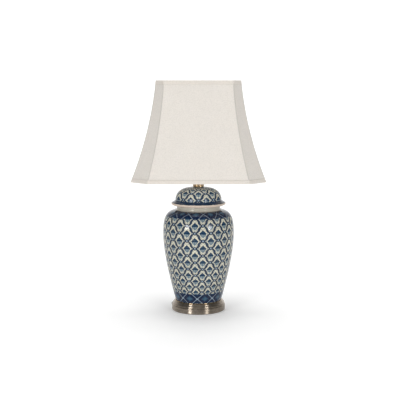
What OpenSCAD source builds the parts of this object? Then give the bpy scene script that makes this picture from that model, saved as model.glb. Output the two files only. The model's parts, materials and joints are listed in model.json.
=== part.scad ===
// Table lamp: a glazed ceramic temple jar with its lid, on a stepped metal base,
// with a keyed bulb socket, a wire harp and a bell shade that has cut corners.
// Millimetres. +Z is up, the front faces -Y, and the origin is under the base, on the axis.

/* [Base] */
// Radius of the lower band of the base
base_r = 75.5; // [70:0.5:90]
// Height of the lower band
base_band_h = 15.2; // [12:0.2:20]
// Height of the base plate that carries the jar
base_h = 27.2; // [26:0.2:34]
// Thickness of the spun base metal
base_wall = 1.6; // [1:0.1:2]
// How far behind the left side the cord inlet sits, in degrees
inlet_angle = 10; // [0:1:90]

/* [Jar] */
// Radius of the jar's foot
foot_r = 65; // [60:0.5:68]
// Radius of the jar at its widest
belly_r = 99.8; // [90:0.2:110]
// Height of the widest place above the jar's foot
belly_h = 188.9; // [170:0.1:200]
// Height of the shoulder's end above the foot
shoulder_h = 256; // [240:0.1:270]
// Radius of the upright collar
collar_r = 60.6; // [56:0.1:64]
// How far the fillet at the collar's foot reaches out over the shoulder
fillet_w = 3.6; // [1:0.1:5]
// How far that fillet reaches up the collar
fillet_h = 6; // [2:0.1:8]
// Height of the collar's rim above the foot
collar_h = 267.7; // [262:0.1:275]
// Thickness of the ceramic
ceramic_wall = 5; // [4:0.5:7]

/* [Lid] */
// Radius of the lid's brim
brim_r = 76; // [70:0.5:80]
// Radius of the lid above its brim
dome_r = 64.7; // [60:0.1:68]
// Height of the lid, from the jar's rim to its top
lid_h = 51.3; // [46:0.1:60]

/* [Fittings] */
// Radius of the brass neck under the shade
neck_r = 15.7; // [14:0.1:20]
// Height of the brass neck
neck_h = 18; // [14:0.5:24]
// Radius of the hollow threaded rod
rod_r = 4.85; // [4.5:0.05:5]
// Greatest half-width of the harp
harp_half_w = 57; // [52:1:64]
// Height of the harp, from its feet to its flat top
harp_h = 229; // [215:1:240]
// Radius of the harp's wire
harp_wire_r = 2; // [1.8:0.1:2.4]
// Radius of the bulb's globe
bulb_r = 30; // [24:1:32]
// Length of the bulb, from its tip to its crown
bulb_len = 110; // [100:1:114]

/* [Shade] */
// Height of the shade's top edge above the table
shade_top_z = 643; // [630:1:650]
// Height of the shade itself
shade_h = 273.6; // [255:0.2:285]
// Width of the shade at its top edge
shade_top_w = 229; // [210:1:250]
// Depth of the shade at its top edge
shade_top_d = 153; // [140:1:180]
// Width of the shade at its bottom edge
shade_bottom_w = 366; // [340:1:400]
// Depth of the shade at its bottom edge
shade_bottom_d = 256; // [235:1:300]
// Size of the cut corner at the top, measured along a side
corner_top = 22; // [16:1:30]
// Size of the cut corner at the bottom, measured along a side
corner_bottom = 46.5; // [36:0.5:56]
// How much of the flare is curved: 0 is a straight cone, 1 is a full bell
bell = 0.6; // [0:0.05:0.8]
// Height of the trim tape along both edges
trim_h = 11; // [8:0.5:14]
// Thickness of the shade's outer fabric on its backing
fabric_t = 0.9; // [0.6:0.1:1.2]
// Radius of the frame's wire
frame_wire_r = 1.5; // [1.2:0.1:2]

/* [Hidden] */

round_fn = 96;     // true circles
wire_fn = 32;      // small true circles
bezier_steps = 12; // straight steps in one curve of an outline

// Finishes
BRONZE = [0.45, 0.41, 0.36];
GOLD = [0.80, 0.63, 0.32];
STEEL = [0.72, 0.72, 0.70];
IRON = [0.20, 0.20, 0.21];
BLACK = [0.06, 0.06, 0.06];
GLAZE = [0.36, 0.45, 0.58];
LINEN = [0.89, 0.87, 0.84];
TAPE = [0.86, 0.82, 0.79];
WHITE = [0.95, 0.95, 0.93];
CARD = [0.62, 0.50, 0.34];

// Heights, from the table up
felt_t = 1.5;
seat_z = base_h;
seat_ring_r = 0.8;              // radius of the thin ring under the jar's foot
foot_z = base_h + 2 * seat_ring_r;
jar_top_z = foot_z + collar_h;
lid_top_z = jar_top_z + lid_h;
gasket_t = 1.2;
neck_z = lid_top_z + gasket_t;
nut_z = neck_z + neck_h;
nut_h = 4;
saddle_z = nut_z + nut_h;
saddle_t = 1.6;
socket_z = saddle_z + saddle_t;
contact_z = socket_z + 28.4;   // top of the socket's inner body
bulb_z = contact_z + 1.8;      // lowest point of the bulb
shade_z = shade_top_z - shade_h;

// Harp outline, right half, as tangent arcs in the XZ plane
leg_x = 30;                    // where the harp's feet stand
post_top_z = saddle_z + 8;
foot_gap = 0.2;
harp_z = post_top_z + foot_gap;
leg_h = 22;                    // straight part above the foot
flare_angle = 35;              // how far the leg turns outwards
flare_r = 30;
lean_angle = 25;               // how far it leans in, above its widest place
crown_r = 12;                  // bend into the flat top
harp_top_z = harp_z + harp_h - harp_wire_r;
flare_x = leg_x + flare_r * (1 - cos(flare_angle));
flare_z = harp_z + leg_h + flare_r * sin(flare_angle);
side_r = (harp_half_w - flare_x) / (1 - cos(flare_angle));
side_z = flare_z + side_r * sin(flare_angle);
lean_x = harp_half_w - side_r * (1 - cos(lean_angle));
lean_z = side_z + side_r * sin(lean_angle);
crown_z = harp_top_z - crown_r;
lean_len = (crown_z + crown_r * sin(lean_angle) - lean_z) / cos(lean_angle);
crown_x = lean_x - lean_len * sin(lean_angle) - crown_r * cos(lean_angle);

// Top of the harp and what it carries
boss_r = 5;
boss_top_z = harp_top_z + harp_wire_r + 2;
stud_r = 3.05;
fit = 0.08;                    // running clearance on a radius
rod_gap = 0.35;                // loose clearance round the threaded rod
washer_z = boss_top_z + 0.3;
washer_t = 2;
finial_z = washer_z + washer_t + 0.3;

// Depths into the shade's wall, measured from the outer face of the fabric
wire_depth = fabric_t + 0.35 + frame_wire_r;
lining_depth = wire_depth + frame_wire_r + 0.9;
lining_t = 0.6;
trim_t = 0.8;
seam_r = 0.9;
mitre_gap = 0.08;              // clearance between neighbouring panels
edge_t = 0.8;                  // thickness of the trim folded over an edge
panel_top_z = shade_top_z - edge_t - 0.2;
panel_bottom_z = shade_z + edge_t + 0.2;
top_wire_z = panel_top_z - frame_wire_r - 0.3;
bottom_wire_z = panel_bottom_z + frame_wire_r + 0.3;
wall_steps = 14;               // levels in a bell curve
wire_sides = 8;                // flats on a frame wire
harp_sides = 12;               // flats on the harp's wire
seam_sides = 6;                // flats on a piped seam

// ---- curves ------------------------------------------------------------------

// Point at t on a cubic curve with end points a, d and handles b, c
function bezier(a, b, c, d, t) =
    pow(1 - t, 3) * a + 3 * t * pow(1 - t, 2) * b + 3 * t * t * (1 - t) * c + pow(t, 3) * d;

// The curve as a list of points, without its last point
function curve(a, b, c, d, n = bezier_steps) =
    [for (i = [0 : n - 1]) bezier(a, b, c, d, i / n)];

function reversed(list) = [for (i = [len(list) - 1 : -1 : 0]) list[i]];

// Outer outline of the jar, from its foot to its rim: radius and height
function jar_outline() = concat(
    curve([foot_r, foot_z], [foot_r + 13.2, foot_z + 48.3],
          [belly_r, foot_z + belly_h - 57.5], [belly_r, foot_z + belly_h]),
    curve([belly_r, foot_z + belly_h], [belly_r, foot_z + belly_h + 36.2],
          [belly_r - 3.6, foot_z + shoulder_h - 5.2], [collar_r + fillet_w, foot_z + shoulder_h]),
    curve([collar_r + fillet_w, foot_z + shoulder_h],
          [collar_r + 0.45 * fillet_w, foot_z + shoulder_h + 0.13 * fillet_h],
          [collar_r, foot_z + shoulder_h + 0.4 * fillet_h],
          [collar_r, foot_z + shoulder_h + fillet_h], 6),
    [[collar_r, jar_top_z - 1.2], [collar_r - 0.5, jar_top_z - 0.3], [collar_r - 1.4, jar_top_z]]);

// Upper face of the lid, from the brim's edge to the hole in its crown
function lid_outline() = concat(
    curve([collar_r + 7, jar_top_z + 0.9], [collar_r + 12, jar_top_z + 1.2],
          [brim_r, jar_top_z + 3.2], [brim_r, jar_top_z + 6.2], 6),
    curve([brim_r, jar_top_z + 6.2], [brim_r, jar_top_z + 9.4],
          [dome_r + 4.2, jar_top_z + 11.4], [dome_r + 1.4, jar_top_z + 13.4], 6),
    curve([dome_r + 1.4, jar_top_z + 13.4], [dome_r + 0.3, jar_top_z + 14.4],
          [dome_r, jar_top_z + 15.2], [dome_r, jar_top_z + 16.6], 3),
    curve([dome_r, jar_top_z + 16.6], [dome_r - 0.4, jar_top_z + lid_h - 15.6],
          [dome_r - 14.4, lid_top_z], [14, lid_top_z]),
    [[14, lid_top_z]]);

// Glass of the bulb, from the cap to the crown
bulb_neck_z = bulb_z + 26.5;
bulb_crown_z = bulb_z + bulb_len;
function globe_outline(t) = concat(
    curve([12.6 - t, bulb_neck_z], [14.6 - t, bulb_neck_z + 16],
          [bulb_r - t, bulb_crown_z - bulb_r - 26], [bulb_r - t, bulb_crown_z - bulb_r]),
    [for (a = [0 : 10 : 90]) [(bulb_r - t) * cos(a), bulb_crown_z - bulb_r + (bulb_r - t) * sin(a)]]);

// ---- the shade's eight-sided wall ------------------------------------------------

// Share of the flare reached at height z: 0 at the top edge, 1 at the bottom edge
function flare(z) = let (u = (shade_top_z - z) / shade_h) (1 - bell) * u + bell * u * u;
function at_height(top, bottom, z) = top + (bottom - top) * flare(z);

// Corner k of the wall at height z and depth d, counted from the front's right-hand end
function wall_corner(k, z, d) = let (
    w = at_height(shade_top_w, shade_bottom_w, z) / 2 - d,
    h = at_height(shade_top_d, shade_bottom_d, z) / 2 - d,
    c = at_height(corner_top, corner_bottom, z) - d * (2 - sqrt(2)),
    xy = [[w - c, -h], [w, c - h], [w, h - c], [w - c, h],
          [c - w, h], [-w, h - c], [-w, c - h], [c - w, -h]][k % 8])
    [xy[0], xy[1], z];

// Outline of a thin wall between two depths: down the outside, then up the inside
function wall_profile(d0, d1, z0, z1, n) = concat(
    [for (i = [0 : n]) [z1 + (z0 - z1) * i / n, d0]],
    [for (i = [n : -1 : 0]) [z1 + (z0 - z1) * i / n, d1]]);

// Outline of a round wire that runs along the wall
function wire_profile(z, d, r, n = wire_sides) =
    [for (i = [0 : n - 1]) [z + r * cos(360 * i / n), d + r * sin(360 * i / n)]];

// Solid through a list of rings; the last ring joins the first where loop is true
module skin(rings, loop = false) {
    m = len(rings[0]);
    n = len(rings);
    cap = [for (i = [0 : m / 2 - 2]) [i, i + 1, m - 2 - i, m - 1 - i]];
    sides = [for (j = [0 : loop ? n - 1 : n - 2], i = [0 : m - 1])
        let (k = (j + 1) % n, h = (i + 1) % m) [j * m + h, j * m + i, k * m + i, k * m + h]];
    ends = loop ? [] : concat(
        cap,
        [for (f = cap) [for (v = reversed(f)) v + (n - 1) * m]]);
    polyhedron([for (ring = rings, p = ring) p], concat(sides, ends));
}

// A profile of heights and depths taken round all eight corners
module wall_loop(profile) {
    skin([for (k = [0 : 7]) [for (q = profile) wall_corner(k, q[0], q[1])]], loop = true);
}

// One flat-sided fabric panel, between corner k - 1 and corner k
module wall_panel(k) {
    profile = wall_profile(0, fabric_t, panel_bottom_z, panel_top_z, wall_steps);
    a = [for (q = profile) wall_corner(k + 7, q[0], q[1])];
    b = [for (q = profile) wall_corner(k, q[0], q[1])];
    along = [for (i = [0 : len(profile) - 1]) (b[i] - a[i]) / norm(b[i] - a[i])];
    skin([a + mitre_gap * along, b - mitre_gap * along]);
}

// An upright wire that follows corner k at depth d
module wall_wire(k, d, r, z0, z1, n = wire_sides) {
    skin([for (i = [0 : wall_steps])
        let (z = z1 + (z0 - z1) * i / wall_steps, p = wall_corner(k, z, d))
        [for (j = [0 : n - 1]) p + r * [cos(360 * j / n), sin(360 * j / n), 0]]]);
}

// ---- small helpers ----------------------------------------------------------------

module ring(r_out, r_in, h) {
    difference() {
        cylinder(r = r_out, h = h, $fn = round_fn);
        translate([0, 0, -1]) cylinder(r = r_in, h = h + 2, $fn = round_fn);
    }
}

module hex_nut(flats, bore, h) {
    difference() {
        intersection() {
            cylinder(r = flats / sqrt(3), h = h, $fn = 6);
            cylinder(r = flats / sqrt(3) - 0.35, h = h, $fn = round_fn);
        }
        translate([0, 0, -1]) cylinder(r = bore, h = h + 2, $fn = wire_fn);
    }
}

module turned(outline) {
    rotate_extrude($fn = round_fn) polygon(outline);
}

// ---- base -------------------------------------------------------------------------

module foot_felt() {
    color(BLACK) cylinder(r = base_r - base_wall - 0.5, h = felt_t, $fn = round_fn);
}

module base_shell() {
    outer = concat(
        [[base_r - 0.6, 0.8], [base_r, 1.6], [base_r, base_band_h - 1]],
        [for (a = [30 : 30 : 90]) [base_r - 1 + cos(a), base_band_h - 1 + sin(a)]],
        [[base_r - 2.5, base_band_h + 0.7], [base_r - 2.6, base_band_h + 1.6]],
        curve([base_r - 1.9, base_band_h + 2.4], [base_r - 1.6, base_band_h + 5.4],
              [base_r - 3.6, base_band_h + 7.0], [base_r - 5.4, base_band_h + 7.2], 5),
        curve([base_r - 5.6, base_band_h + 7.8], [base_r - 5.6, base_band_h + 10],
              [base_r - 8, base_h - 0.4], [foot_r + 1.4, base_h], 5),
        [[foot_r + 1.4, base_h]]);
    inner = [[base_r - base_wall, 0.8], [base_r - base_wall, base_band_h - 2],
             [base_r - 4.6, base_band_h + 1], [base_r - 4.6, base_band_h + 4],
             [base_r - 8.4, base_h - 3.6], [foot_r - 0.4, base_h - base_wall],
             [rod_r + rod_gap, base_h - base_wall], [rod_r + rod_gap, base_h]];
    color(BRONZE) difference() {
        turned(concat(outer, reversed(inner)));
        at_inlet(base_r - 9) cylinder(r = inlet_r + 0.05, h = 12, $fn = wire_fn);
    }
}

// Places a child on the base's rim, at radius r, pointing outwards
inlet_z = 11.8;
inlet_r = 3;                   // radius of the bush where it passes through the base
module at_inlet(r) {
    rotate([0, 0, 180 - inlet_angle]) translate([r, 0, inlet_z]) rotate([0, 90, 0]) children();
}

module base_weight() {
    color(IRON) difference() {
        translate([0, 0, felt_t]) cylinder(r = base_r - 6.5, h = 12.5, $fn = round_fn);
        translate([0, 0, felt_t - 1]) cylinder(r = 12, h = 7, $fn = round_fn);
        cylinder(r = rod_r + rod_gap, h = 30, $fn = wire_fn);
    }
}

module rod_nut() {
    color(STEEL) translate([0, 0, felt_t + 0.4]) hex_nut(16, rod_r + fit, 4.2);
}

module lock_washer() {
    color(STEEL) translate([0, 0, felt_t + 4.7]) ring(9.5, rod_r + fit, 1.2);
}

module cord_bush() {
    color(BLACK) at_inlet(base_r - 5) difference() {
        union() {
            cylinder(r = inlet_r, h = 5.2, $fn = wire_fn);
            translate([0, 0, 5.05]) cylinder(r = 4, h = 1.6, $fn = wire_fn);
        }
        translate([0, 0, -1]) cylinder(r = 2.2, h = 9, $fn = wire_fn);
    }
}

module jar_seat_ring() {
    w = seat_ring_r;
    color(GOLD) turned(concat(
        [[foot_r - 6, seat_z], [foot_r + 0.4, seat_z]],
        [for (a = [-60 : 30 : 60]) [foot_r + 0.4 + w * cos(a), seat_z + w + w * sin(a)]],
        [[foot_r + 0.4, seat_z + 2 * w], [foot_r - 6, seat_z + 2 * w]]));
}

// ---- jar and lid -------------------------------------------------------------------

module jar() {
    wall = ceramic_wall;
    outer = jar_outline();
    inside = [for (i = [1 : len(outer) - 2])
        let (p = outer[i], along = outer[i + 1] - outer[i - 1])
        if (p[1] > foot_z + 14 && p[1] < jar_top_z - 4)
            p - wall * [along[1], -along[0]] / norm(along)];
    color(GLAZE) turned(concat(
        [[foot_r - 7, foot_z]], outer,
        [[collar_r - wall + 1, jar_top_z], [collar_r - wall, jar_top_z - 1.2]],
        reversed(inside),
        [[foot_r - wall, foot_z + 12], [foot_r - 12, foot_z + 9], [rod_r + 1.5, foot_z + 9],
         [rod_r + 1.5, foot_z + 3], [foot_r - 9, foot_z + 3]]));
}

module lid() {
    wall = ceramic_wall - 0.4;
    crown = curve([dome_r - wall, jar_top_z + 14], [dome_r - wall - 0.4, jar_top_z + lid_h - 18],
                  [dome_r - 19, lid_top_z - wall], [14, lid_top_z - wall]);
    spigot_r = collar_r - ceramic_wall - 0.8;
    color(GLAZE) turned(concat(
        lid_outline(),
        [[rod_r + 0.7, lid_top_z], [rod_r + 0.7, lid_top_z - wall], [14, lid_top_z - wall]],
        reversed(crown),
        [[spigot_r - 3, jar_top_z + 6], [spigot_r - 3, jar_top_z - 5.5],
         [spigot_r, jar_top_z - 5.5], [spigot_r, jar_top_z + 0.3]]));
}

module lid_gasket() {
    color(BLACK) translate([0, 0, lid_top_z]) ring(neck_r - 1.5, rod_r + rod_gap, gasket_t);
}

module threaded_rod() {
    color(STEEL) translate([0, 0, felt_t + 1]) ring(rod_r, 3.2, socket_z + 7 - felt_t - 1);
}

// ---- neck, saddle and socket -----------------------------------------------------------

module neck() {
    wall = 1.4;
    color(GOLD) turned([
        [neck_r - wall, neck_z], [neck_r - 0.4, neck_z], [neck_r, neck_z + 0.4],
        [neck_r, nut_z - 1.2], [neck_r - 0.35, nut_z - 0.35], [neck_r - 1.2, nut_z],
        [rod_r + rod_gap, nut_z], [rod_r + rod_gap, nut_z - 2], [neck_r - wall, nut_z - 2]]);
}

module clamp_nut() {
    color(GOLD) translate([0, 0, nut_z]) hex_nut(16, rod_r + fit, nut_h);
}

// Strap under the socket; its ends turn up into the posts that hold the harp
module harp_saddle() {
    flat_x = 19;
    rise = 3;
    strap_w = 11;
    color(GOLD) {
        difference() {
            translate([0, strap_w / 2, 0]) rotate([90, 0, 0]) linear_extrude(strap_w) polygon([
                [-leg_x - 4, saddle_z + rise], [-leg_x + 4, saddle_z + rise],
                [-flat_x, saddle_z], [flat_x, saddle_z],
                [leg_x - 4, saddle_z + rise], [leg_x + 4, saddle_z + rise],
                [leg_x + 4, saddle_z + rise + saddle_t], [leg_x - 4.6, saddle_z + rise + saddle_t],
                [flat_x - 0.6, saddle_z + saddle_t], [0.6 - flat_x, saddle_z + saddle_t],
                [4.6 - leg_x, saddle_z + rise + saddle_t], [-leg_x - 4, saddle_z + rise + saddle_t]]);
            translate([0, 0, saddle_z - 1]) cylinder(r = rod_r + 0.25, h = 4, $fn = wire_fn);
        }
        for (side = [-1, 1]) translate([side * leg_x, 0, saddle_z + rise + saddle_t - 0.5])
            cylinder(r = harp_wire_r, h = post_top_z - saddle_z - rise - saddle_t + 0.5, $fn = wire_fn);
    }
}

socket_r = 16.9;
cap_h = 19;
shell_z = socket_z + 14.5;
shell_top_z = socket_z + 57;

module socket_cap() {
    r = socket_r + 0.9;
    t = 0.8;
    color(GOLD) difference() {
        turned([
            [rod_r + fit, socket_z], [9, socket_z], [9, socket_z + 5], [11, socket_z + 6.5],
            [15.5, socket_z + 9], [r, socket_z + 13], [r, socket_z + cap_h],
            [r - t, socket_z + cap_h], [r - t, socket_z + 13.4], [14.6, socket_z + 10],
            [10.4, socket_z + 7.4], [rod_r + fit, socket_z + 7.4]]);
        translate([0, 0, socket_z + 2.6]) rotate([-90, 0, 0]) cylinder(r = 1.6, h = 12, $fn = wire_fn);
    }
}

module socket_set_screw() {
    color(STEEL) translate([0, 0, socket_z + 2.6]) rotate([-90, 0, 0]) {
        translate([0, 0, rod_r + 0.2]) cylinder(r = 1.5, h = 5, $fn = wire_fn);
        translate([0, 0, 9.2]) cylinder(r = 2.6, h = 1.6, $fn = wire_fn);
    }
}

switch_z = socket_z + 22;
stem_hole_r = 3.2;             // hole that the switch's stem passes through
module along_switch(y) {
    translate([0, y, switch_z]) rotate([90, 0, 0]) children();
}

module socket_shell() {
    color(GOLD) difference() {
        union() {
            translate([0, 0, shell_z]) ring(socket_r, socket_r - 0.6, shell_top_z - shell_z);
            translate([0, 0, shell_top_z - 0.01]) turned([
                [socket_r - 0.6, 0], [socket_r, 0], [socket_r + 0.9, 0.6],
                [socket_r + 0.9, 1.4], [socket_r - 0.6, 1.4]]);
        }
        along_switch(-10) cylinder(r = stem_hole_r, h = 12, $fn = wire_fn);
    }
}

module socket_liner() {
    color(CARD) difference() {
        translate([0, 0, shell_z + 0.5]) ring(socket_r - 0.7, socket_r - 1.3, shell_top_z - shell_z - 0.5);
        along_switch(-10) cylinder(r = stem_hole_r, h = 12, $fn = wire_fn);
    }
}

screw_x = 9;
module socket_interior() {
    r = socket_r - 1.5;
    color(BLACK) difference() {
        translate([0, 0, socket_z + 14]) cylinder(r = r, h = contact_z - socket_z - 14, $fn = round_fn);
        along_switch(-6) cylinder(r = 2 + fit, h = 14, $fn = wire_fn);
        for (side = [-1, 1]) translate([side * screw_x, 0, socket_z + 13])
            cylinder(r = 1.6, h = 8, $fn = wire_fn);
    }
}

module screw_shell() {
    color(STEEL) {
        translate([0, 0, contact_z + 0.05]) ring(14.6, 13.7, 27);
        translate([0, 0, contact_z + 0.05]) ring(14.1, 7.5, 0.6);
    }
}

module centre_contact() {
    color(GOLD) translate([0, 0, contact_z]) cylinder(r = 4, h = 1.5, $fn = wire_fn);
}

module terminal_screw(x) {
    translate([x, 0, socket_z + 11.9]) {
        cylinder(r = 3, h = 2.05, $fn = wire_fn);
        translate([0, 0, 2]) cylinder(r = 1.5, h = 6, $fn = wire_fn);
    }
}

module live_screw() {
    color(GOLD) terminal_screw(-screw_x);
}

module neutral_screw() {
    color(STEEL) terminal_screw(screw_x);
}

module switch_stem() {
    color(GOLD) along_switch(-8) cylinder(r = 2, h = 17, $fn = wire_fn);
}

// Flat key on a round hub
module switch_knob() {
    color(BLACK) along_switch(-22) difference() {
        union() {
            cylinder(r1 = 4.2, r2 = 5, h = 5, $fn = wire_fn);
            translate([0, 0, 5]) intersection() {
                cylinder(r = 7, h = 10, $fn = wire_fn);
                translate([-10, -2.2, 0]) cube([20, 4.4, 10]);
                translate([0, 0, -1]) rotate([90, 0, 0]) cylinder(r = 11, h = 20, center = true, $fn = wire_fn);
            }
        }
        translate([0, 0, -1]) cylinder(r = 2.02, h = 4.2, $fn = wire_fn);
    }
}

// ---- bulb --------------------------------------------------------------------------------

module bulb_globe() {
    color(WHITE) turned(concat(globe_outline(0), reversed(globe_outline(0.8))));
}

module bulb_cap() {
    color(STEEL) turned([
        [5.4, bulb_z + 1.6], [9, bulb_z + 1.6], [13.1, bulb_z + 4.6], [13.1, bulb_z + 26.4],
        [12.7, bulb_z + 26.4], [12.7, bulb_z + 5], [8.8, bulb_z + 2.4], [5.4, bulb_z + 2.4]]);
}

module bulb_tip() {
    color(STEEL) translate([0, 0, bulb_z]) {
        cylinder(r = 4.6, h = 1.2, $fn = wire_fn);
        translate([0, 0, 1.2]) cylinder(r = 5.3, h = 1.6, $fn = wire_fn);
    }
}

// ---- harp and finial --------------------------------------------------------------------------

// Stations along the right half of the harp, from its foot: x, z and heading
function harp_arc(c, r, a, turn, side, n) =
    [for (i = [1 : n]) let (t = a + turn * i / n) [c[0] + r * cos(t), c[1] + r * sin(t), t + side]];

function harp_path() = concat(
    [[leg_x, harp_z, 90], [leg_x, harp_z + leg_h, 90]],
    harp_arc([leg_x + flare_r, harp_z + leg_h], flare_r, 180, -flare_angle, -90, 5),
    harp_arc([harp_half_w - side_r, side_z], side_r, -flare_angle, flare_angle + lean_angle, 90, 9),
    harp_arc([crown_x, crown_z], crown_r, lean_angle, 0, 90, 1),
    harp_arc([crown_x, crown_z], crown_r, lean_angle, 90 - lean_angle, 90, 5));

function harp_ring(q) = [for (i = [0 : harp_sides - 1]) let (t = 360 * i / harp_sides)
    [q[0], 0, q[1]] + harp_wire_r * [-sin(q[2]) * cos(t), sin(t), cos(q[2]) * cos(t)]];

module harp_wire() {
    right = harp_path();
    left = [for (q = reversed(right)) [-q[0], q[1], -q[2]]];
    color(GOLD) skin([for (q = concat(right, left)) harp_ring(q)]);
}

// Ferrule that locks a harp foot to its post
module harp_sleeve(x) {
    color(GOLD) translate([x, 0, saddle_z + 5]) difference() {
        union() {
            cylinder(r = 3.6, h = 11, $fn = wire_fn);
            cylinder(r = 4.1, h = 1.6, $fn = wire_fn);
        }
        translate([0, 0, -1]) cylinder(r = harp_wire_r + fit, h = 14, $fn = wire_fn);
    }
}

module harp_sleeve_left() {
    harp_sleeve(-leg_x);
}

module harp_sleeve_right() {
    harp_sleeve(leg_x);
}

// Collar at the middle of the harp, with the stud that the shade turns on
module harp_boss() {
    color(GOLD) difference() {
        union() {
            translate([0, 0, harp_top_z - harp_wire_r - 0.6])
                cylinder(r = boss_r, h = boss_top_z - harp_top_z + harp_wire_r + 0.6, $fn = wire_fn);
            translate([0, 0, boss_top_z - 0.5]) cylinder(r = stud_r, h = 12, $fn = wire_fn);
        }
        translate([-boss_r - 1, 0, harp_top_z]) rotate([0, 90, 0])
            cylinder(r = harp_wire_r, h = 2 * boss_r + 2, $fn = wire_fn);
    }
}

module finial() {
    h = 13;
    color(GOLD) translate([0, 0, finial_z]) difference() {
        turned(concat(
            [[0, 0], [7, 0], [7, 1.6], [5, 2.6]],
            curve([5, 2.6], [8.4, 5], [6.5, h], [0, h], 8),
            [[0, h]]));
        translate([0, 0, -1]) cylinder(r = stud_r + fit, h = h - 2, $fn = wire_fn);
    }
}

// ---- shade ----------------------------------------------------------------------------------------

// Washer with four arms that rise to the middle of each side of the top ring
module spider() {
    z = washer_z + washer_t / 2;
    color(STEEL) {
        translate([0, 0, washer_z]) ring(14, stud_r + fit, washer_t);
        spider_arm([shade_top_w / 2 - wire_depth, 0, top_wire_z], z, 0);
        spider_arm([shade_top_d / 2 - wire_depth, 0, top_wire_z], z, 90);
        spider_arm([shade_top_w / 2 - wire_depth, 0, top_wire_z], z, 180);
        spider_arm([shade_top_d / 2 - wire_depth, 0, top_wire_z], z, 270);
    }
}

module spider_arm(tip, z, turn) {
    start_x = 12;
    run = tip[0] - start_x;
    rise = tip[2] - z;
    rotate([0, 0, turn]) translate([start_x, 0, z]) rotate([0, 90 - atan2(rise, run), 0])
        cylinder(r = frame_wire_r, h = sqrt(run * run + rise * rise), $fn = wire_fn);
}

module frame_top_ring() {
    color(STEEL) wall_loop(wire_profile(top_wire_z, wire_depth, frame_wire_r));
}

module frame_bottom_ring() {
    color(STEEL) wall_loop(wire_profile(bottom_wire_z, wire_depth, frame_wire_r));
}

module strut(k) {
    color(STEEL) wall_wire(k, wire_depth, frame_wire_r - 0.1, bottom_wire_z, top_wire_z);
}

module shade_lining() {
    color(WHITE) wall_loop(wall_profile(
        lining_depth, lining_depth + lining_t, bottom_wire_z + 2.5, top_wire_z - 5.5, wall_steps));
}

module shade_seams() {
    color(TAPE) for (k = [0 : 7])
        wall_wire(k, -seam_r - 0.1, seam_r, shade_z + trim_h + 0.3, shade_top_z - trim_h - 0.3, seam_sides);
}

module top_trim() {
    low = shade_top_z - trim_h;
    color(TAPE) wall_loop([
        [low, -0.1], [low, -trim_t - 0.1], [shade_top_z - 0.3, -trim_t - 0.1],
        [shade_top_z, -trim_t + 0.2], [shade_top_z, lining_depth - 0.6],
        [shade_top_z - edge_t, lining_depth - 0.6], [shade_top_z - edge_t, -0.1],
        [shade_top_z - trim_h / 2, -0.1]]);
}

module bottom_trim() {
    high = shade_z + trim_h;
    color(TAPE) wall_loop([
        [high, -trim_t - 0.1], [high, -0.1], [shade_z + trim_h / 2, -0.1], [shade_z + edge_t, -0.1],
        [shade_z + edge_t, lining_depth - 0.6], [shade_z, lining_depth - 0.6],
        [shade_z, -trim_t + 0.2], [shade_z + 0.3, -trim_t - 0.1]]);
}

module fabric_panel(k) {
    color(LINEN) wall_panel(k);
}

// ---- assembly ----------------------------------------------------------------------------------------

foot_felt();
base_shell();
base_weight();
rod_nut();
lock_washer();
cord_bush();
jar_seat_ring();
jar();
threaded_rod();
lid();
lid_gasket();
neck();
clamp_nut();
harp_saddle();
socket_cap();
socket_set_screw();
socket_shell();
socket_liner();
socket_interior();
screw_shell();
centre_contact();
live_screw();
neutral_screw();
switch_stem();
switch_knob();
bulb_globe();
bulb_cap();
bulb_tip();
harp_wire();
harp_sleeve_left();
harp_sleeve_right();
harp_boss();
finial();
spider();
frame_top_ring();
frame_bottom_ring();
strut(0);  // strut_1
strut(1);  // strut_2
strut(2);  // strut_3
strut(3);  // strut_4
strut(4);  // strut_5
strut(5);  // strut_6
strut(6);  // strut_7
strut(7);  // strut_8
fabric_panel(0);  // panel_front
fabric_panel(1);  // panel_front_right
fabric_panel(2);  // panel_right
fabric_panel(3);  // panel_back_right
fabric_panel(4);  // panel_back
fabric_panel(5);  // panel_back_left
fabric_panel(6);  // panel_left
fabric_panel(7);  // panel_front_left
shade_lining();
shade_seams();
top_trim();
bottom_trim();
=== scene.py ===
"""Looks of the table lamp: painted temple jar, antique brass base, fabric bell shade."""
import json
import math

import bpy
import numpy as np
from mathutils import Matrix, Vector


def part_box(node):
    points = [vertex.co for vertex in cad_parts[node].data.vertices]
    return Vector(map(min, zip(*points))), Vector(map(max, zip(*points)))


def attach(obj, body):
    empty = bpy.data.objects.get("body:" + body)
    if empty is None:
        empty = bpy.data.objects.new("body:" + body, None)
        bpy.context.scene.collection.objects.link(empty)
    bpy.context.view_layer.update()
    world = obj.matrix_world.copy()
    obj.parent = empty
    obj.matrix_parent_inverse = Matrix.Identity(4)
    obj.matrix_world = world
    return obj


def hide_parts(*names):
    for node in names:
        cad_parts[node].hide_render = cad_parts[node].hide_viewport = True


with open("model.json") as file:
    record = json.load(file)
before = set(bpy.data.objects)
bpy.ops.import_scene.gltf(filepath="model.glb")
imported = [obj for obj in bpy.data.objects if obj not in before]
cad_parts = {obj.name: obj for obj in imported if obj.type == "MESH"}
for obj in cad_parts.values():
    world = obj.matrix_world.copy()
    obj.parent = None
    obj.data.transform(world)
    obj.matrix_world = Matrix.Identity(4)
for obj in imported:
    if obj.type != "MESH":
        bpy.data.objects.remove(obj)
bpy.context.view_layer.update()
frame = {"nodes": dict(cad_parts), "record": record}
MM = 0.001
TAU = 2 * math.pi


# ---- camera --------------------------------------------------------------------------

EYE = Vector((0, -2.5, 0.64))
AIM = Vector((0.0042, 0, 0.3107))
LENS = 81


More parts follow.
